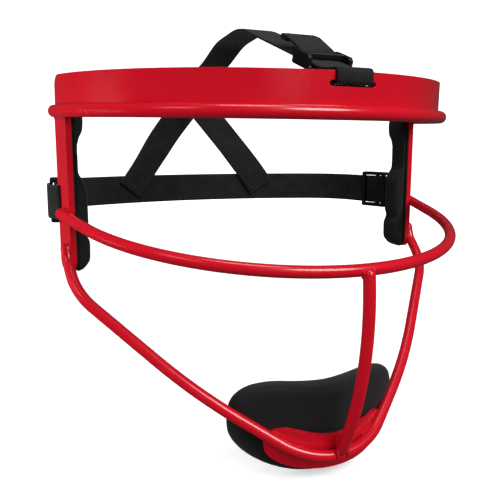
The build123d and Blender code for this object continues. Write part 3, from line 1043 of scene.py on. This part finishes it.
def build_rear_strap():
    """From slot to slot: the inner legs of both loops and the run round the back."""
    run_end = SIDE_AT + heading * 19.2
    lift = BACK_R - BACK_REACH + run_end.y
    small = (run_end.x**2 + lift**2 - BACK_R**2) / (2 * (run_end.x * outward.x + lift * outward.y - BACK_R))
    corner = run_end - outward * small
    toward = Vector((corner.x, corner.y + BACK_R - BACK_REACH))
    back_angle, run_angle = atan2(toward.y, toward.x), atan2(outward.y, outward.x)
    points = [slot_inside, inside_face + slot_middle, inside_face - ahead * 0.6,
              SIDE_AT - heading * 10.6, run_end]
    half = rounded_path([(*p, 0) for p in points], [0.9, 4.0, 7.0], 0.3)
    half += plan_arc(*corner, small, run_angle, back_angle, 30)[1:]
    half += plan_arc(0, BACK_REACH - BACK_R, BACK_R, back_angle, pi / 2, 40)[1:]
    whole = [on_strap(p) for p in resample(half + mirror_path(half[-2::-1]), 0.9)]
    return webbing("rear_elastic_strap", whole, FALL_NORMAL, REAR_W)


def build_side_loop():
    """The outer leg of the left loop: out of the slot, back and over the slider's middle bar."""
    over = SIDE_AT + outward * (2.3 + STRAP_T / 2 + 0.08)
    points = [slot_outside, outside_face + slot_middle, outside_face + ahead * -0.4,
              Vector((92.4, -1.2)), over - heading * 3.6, over + heading * 2.0,
              SIDE_AT + heading * 2.1 + outward * 1.15]
    path = rounded_path([(*p, 0) for p in points], [0.9, 4.0, 7.0, 5.0, 0.85], 0.3)
    path = [on_strap(p) for p in resample(path, 0.45)]
    return webbing("left_loop_outer_leg", path, FALL_NORMAL, REAR_W - 0.3)


def crown_point(y):
    return Vector((0, y, CROWN_LINE[1] + (y - CROWN_LINE[0]) * tan(CROWN_FALL)))


adjuster_at = crown_point(TOP_ADJUSTER_Y)
crown_along = Vector((0, -cos(CROWN_FALL), -sin(CROWN_FALL)))
crown_up = Vector((0, -sin(CROWN_FALL), cos(CROWN_FALL)))
BAND_FACE_Y = -(RAIL_REACH + BAND_OFFSET)


def middle_strap(name, points, radii, fine, pitch):
    """Webbing whose path lies in the middle plane."""
    return webbing(name, resample(rounded_path(points, radii, fine), pitch), X_AXIS, TOP_W)


def build_crown_strap():
    outer_y = BAND_FACE_Y - FACE_GAP
    points = middle_points((68.6, 0.5), (70.4, 12.5), (56.0, 20.5), (34.0, 26.0), (14.4, 34.9))
    points += [crown_point(-12.2), crown_point(-84)]
    points += middle_points((outer_y, BAND_TOP + FACE_GAP), (outer_y, BAND_STRAP_Z),
                            (BAND_FACE_Y + 0.9, BAND_STRAP_Z - 0.05))
    return middle_strap("crown_strap", points, [8.0, 20.0, 60.0, 40.0, 38.0, 18.0, 1.6, 0.9], 0.4, 0.8)


def on_slider(a, u):
    return adjuster_at + crown_along * a + crown_up * u


def build_inner_leg():
    """From the band's slot back up behind the band, into the slider from below."""
    points = middle_points((BAND_FACE_Y + 0.7, BAND_STRAP_Z), (BAND_FACE_Y + 3.2, BAND_STRAP_Z),
                           (-79.0, 13.9))
    points += [on_slider(2.9, -2.6), on_slider(2.4, -0.9)]
    return middle_strap("crown_inner_leg", points, [1.2, 7.0, 3.0], 0.3, 0.5)


TAIL_END = Vector((0, -53.0, 31.6))
TAIL_ALONG = Vector((0, 4.6, 1.4)).normalized()
TAIL_UP = Vector((0, -TAIL_ALONG.z, TAIL_ALONG.y))


def build_tail():
    """The free end: out from under the slider's middle bar and up, its end folded under."""
    fold = TAIL_END - TAIL_UP * 1.42
    points = [on_slider(-1.0, 1.7), *middle_points((-67.0, 24.9), (-57.6, 30.2)), TAIL_END, fold,
              fold - TAIL_ALONG * 4.6]
    return middle_strap("crown_strap_tail", points, [14.0, 6.0, 0.68, 0.68], 0.3, 0.35)


def build_diagonal():
    """The left leg of the V at the back of the head, cut where it meets the right one."""
    stations = [((40.0, 56.9, -40.3), (0.24, 0.97, 0.0)), ((32.8, 58.3, -30.3), (0.21, 0.97, 0.08)),
                ((18.0, 63.4, -10.6), (0.10, 0.98, -0.14)), ((3.5, 66.6, 6.5), (0.0, 0.98, -0.19)),
                ((-1.5, 67.6, 12.3), (0.0, 0.98, -0.19))]
    path = catmull([s[0] for s in stations], 0.8)
    heads, sides = tangents(path), []
    for p, t in zip(path, heads):
        share = [max(1e-6, (p - Vector(s[0])).length) for s in stations]
        normal = sum((Vector(s[1]) / d**2 for s, d in zip(stations, share)), Vector())
        sides.append(t.cross(normal).normalized())
    piece = webbing("left_diagonal_strap", path, sides, DIAGONAL_W)
    bm = bmesh.new()
    bm.from_mesh(piece.data)
    everything = bm.verts[:] + bm.edges[:] + bm.faces[:]
    cut = bmesh.ops.bisect_plane(bm, geom=everything, dist=1e-7, plane_co=(0.02 * MM, 0, 0),
                                 plane_no=-X_AXIS, clear_outer=True)["geom_cut"]
    bmesh.ops.holes_fill(bm, edges=[e for e in cut if isinstance(e, bmesh.types.BMEdge)])
    bm.to_mesh(piece.data)
    bm.free()
    return piece, path, heads, sides


def slider_boxes(length, strap_width, rise=0.0):
    """A three-bar slider: two side rails, two low end bars and one raised middle bar."""
    gap, height, rail, bar_w = STRAP_T / 2 + 0.35, 2.3, 1.8, 2.4
    across = strap_width + 2 * (0.35 + rail)
    low = -(gap + height) / 2
    top = height + rise
    boxes = []
    for side in (-1, 1):
        y = side * (across - rail) / 2
        boxes += [((0, y, rise / 2), (length - 2.6, rail, height + top)),
                  ((0, y, rise / 2 - 0.2), (length - 1.0, rail, height + top - 1.2)),
                  ((0, y * 0.985, low), (length, rail * 0.6, height - gap)),
                  ((side * (length - bar_w) / 2, 0, low), (bar_w, across - 1.4, height - gap)),
                  ((side * (length - bar_w) / 2, 0, low + 0.12), (bar_w - 0.8, across - 0.6, height - gap))]
    boxes.append(((0, 0, (gap + top) / 2), (bar_w, across - rail, top - gap)))
    boxes.append(((0, 0, (gap + top) / 2 + 0.1), (bar_w - 0.8, across - rail, top - gap)))
    return boxes


def frame_matrix(origin, x, y, z):
    """A local millimetre frame as a matrix in metres."""
    return Matrix.Translation(origin * MM) @ Matrix((x, y, z)).transposed().to_4x4()


finish_strap(build_rear_strap(), "frame", "rear_strap")
finish_strap(build_crown_strap(), "frame", "top_strap")
left_diagonal, diagonal_path, diagonal_heads, diagonal_sides = build_diagonal()
finish_pair(left_diagonal, "right_diagonal_strap_web", elastic, "frame", "{}_diagonal_strap")

head3, out3 = on_strap(heading) - on_strap((0, 0)), on_strap(outward) - on_strap((0, 0))
side_place = frame_matrix(on_strap(SIDE_AT), head3, out3.cross(head3), out3)
left_slider = moulded("left_slider", slider_boxes(SIDE_SLIDER_L, REAR_W), side_place)
finish_pair(left_slider, "right_slider", plastic, "{}_adjuster", "{}_side_adjuster")
top_place = frame_matrix(adjuster_at, crown_along, crown_up.cross(crown_along), crown_up)
top_slider = moulded("crown_slider", slider_boxes(TOP_SLIDER_L, TOP_W, TOP_SLIDER_RISE), top_place)
finish_piece(top_slider, plastic, "top_adjuster", "top_adjuster")
finish_strap(build_tail(), "top_adjuster", "top_strap_tail")

left_leg = build_side_loop()
right_leg = copy_mirrored(left_leg, "right_loop_outer_leg")
for leg, body, sign in ((left_leg, "left_adjuster", 1), (right_leg, "right_adjuster", -1)):
    finish_strap(leg, None)
    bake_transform(leg)
inner_leg = build_inner_leg()
finish_strap(inner_leg, None)
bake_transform(inner_leg)


# ---- stitching
def box_stitch(centre, along, across, normal, length, width, cross=False):
    corners = [centre + along * (a * length / 2) + across * (b * width / 2)
               for a, b in ((-1, -1), (1, -1), (1, 1), (-1, 1))]
    rows = [stitch_line(corners[k], corners[(k + 1) % 4], normal) for k in range(4)]
    if cross:
        rows += [stitch_line(corners[0], corners[2], normal), stitch_line(corners[1], corners[3], normal)]
    return rows


def diagonal_stitches():
    k = min(range(len(diagonal_path)), key=lambda i: abs((diagonal_path[i] - diagonal_path[0]).length - 7.5))
    along, across = diagonal_heads[k], diagonal_sides[k]
    normal = along.cross(across).normalized()
    if normal.y > 0:
        normal = -normal
    centre = diagonal_path[k] + normal * (STRAP_T / 2 - 0.1)
    return stitches("left_diagonal_stitches", box_stitch(centre, along, across, normal, 8.5, 11.0))


def side_stitches():
    """The bar tack that closes the loop round the left slider's middle bar."""
    over = SIDE_AT + outward * (2.3 + STRAP_T + 0.03)
    centre = on_strap(over - heading * 5.2 - outward * 0.42)
    return stitches("left_loop_stitches", bar_tack(centre, head3, FALL_NORMAL, out3, REAR_W - 3.0))


def hem_stitches():
    """Two rows across the tail's folded end."""
    hem = TAIL_END - TAIL_ALONG * 2.6 + TAIL_UP * (STRAP_T / 2 - 0.08)
    rows = []
    for middle in (hem, hem - TAIL_ALONG * 1.2):
        rows.append(stitch_line(middle - X_AXIS * 6.6, middle + X_AXIS * 6.6, TAIL_UP))
    return stitches("tail_hem_stitches", rows)


def nape_stitches():
    """The crossed box that holds the top strap on the V's apex."""
    along, out = Vector((0, 1.8, 12.0)).normalized(), Vector((0, 12.0, -1.8)).normalized()
    centre = Vector((0, 69.35, 5.5)) + out * (STRAP_T / 2 - 0.1)
    return stitches("nape_stitches", box_stitch(centre, along, X_AXIS, out, 7.5, 11.5, True))


finish_pair(diagonal_stitches(), "right_diagonal_stitches", thread, "frame")
finish_pair(side_stitches(), "right_loop_stitches", thread, "{}_adjuster")
finish_piece(hem_stitches(), thread, "top_adjuster")
finish_piece(nape_stitches(), thread, "frame")

# ---- floor, light and camera
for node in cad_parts.values():
    if not node.hide_render:
        raise SystemExit(f"{node.name} is still shown as plain CAD")


def stage_floor():
    """A pale round floor that curves up into a wall on every side of the mask."""
    bm = bmesh.new()
    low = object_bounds()[0][2] / MM - 1.0
    profile = [(radius, low) for radius in (60, 200, 400, 700, 1100, 1600)]
    profile += [(1600 + 500 * sin(radians(a)), low + 500 * (1 - cos(radians(a))))
                for a in range(10, 91, 10)]
    profile += [(2100, low + 1100), (2100, low + 1900)]
    previous = [bm.verts.new((0, 0, low))]
    for radius, z in profile:
        ring = [bm.verts.new((p.x, p.y, z)) for p in plan_arc(0, 0, radius, 0, 2 * pi, 60)[:-1]]
        bridge(bm, previous, ring)
        previous = ring
    floor = make_object("studio_floor", bm)
    material, tree, shader = new_material("studio_white", (0.93, 0.93, 0.93), 0.9)
    shader.inputs["Emission Color"].default_value = (1, 1, 1, 1)
    away = add_node(tree, "ShaderNodeVectorMath", [(0, object_place(tree))], operation="LENGTH")
    glow = remap(tree, away.outputs["Value"], 0.46, 1.1, 0.30, 0.90)
    tree.links.new(glow, shader.inputs["Emission Strength"])
    floor.data.materials.append(material)
    floor.visible_diffuse = floor.visible_glossy = False


LOOK_AT = Vector((0, -0.02, -0.06))


def area_light(name, at, size, power, glint=True):
    light = bpy.data.lights.new(name, "AREA")
    light.shape, light.size, light.energy = "DISK", size, power
    lamp = link(name, light)
    lamp.location = at
    lamp.rotation_euler = (Vector(at) - LOOK_AT).to_track_quat("Z", "Y").to_euler()
    lamp.visible_glossy, lamp.visible_camera = glint, False


stage_floor()
world = bpy.data.worlds.new("studio")
world.use_nodes = True
backdrop = world.node_tree.nodes["Background"]
backdrop.inputs["Color"].default_value = (1, 1, 1, 1)
backdrop.inputs["Strength"].default_value = 0.05
scene.world = world
scene.view_settings.view_transform = "Standard"
area_light("key", (0.40, -1.20, 1.05), 0.90, 19)
area_light("fill", (-0.10, -1.45, 0.35), 0.60, 8, glint=False)
area_light("side", (-1.25, -0.55, 0.95), 0.50, 1.5)
area_light("low_side", (-0.31, 0.04, -0.05), 0.16, 0.7, glint=False)
area_light("top", (0.0, -0.1, 1.4), 0.6, 4)
area_light("back", (0.9, 1.1, 0.7), 0.7, 7, glint=False)

# The camera: where it stands, its three axes and its lens
CAMERA_AT = Vector((-138.714, -296.808, -5.808))
CAMERA_RIGHT = Vector((0.90043, -0.43477, 0.01413))
CAMERA_UP = Vector((0.06643, 0.16954, 0.98328))
CAMERA_BACK = Vector((-0.42990, -0.88450, 0.18150))
lens = bpy.data.cameras.new("camera")
lens.lens, lens.sensor_width, lens.clip_start = 47.54, 36.0, 0.01
camera = link("camera", lens)
camera.matrix_world = frame_matrix(CAMERA_AT, CAMERA_RIGHT, CAMERA_UP, CAMERA_BACK)
scene.camera = camera
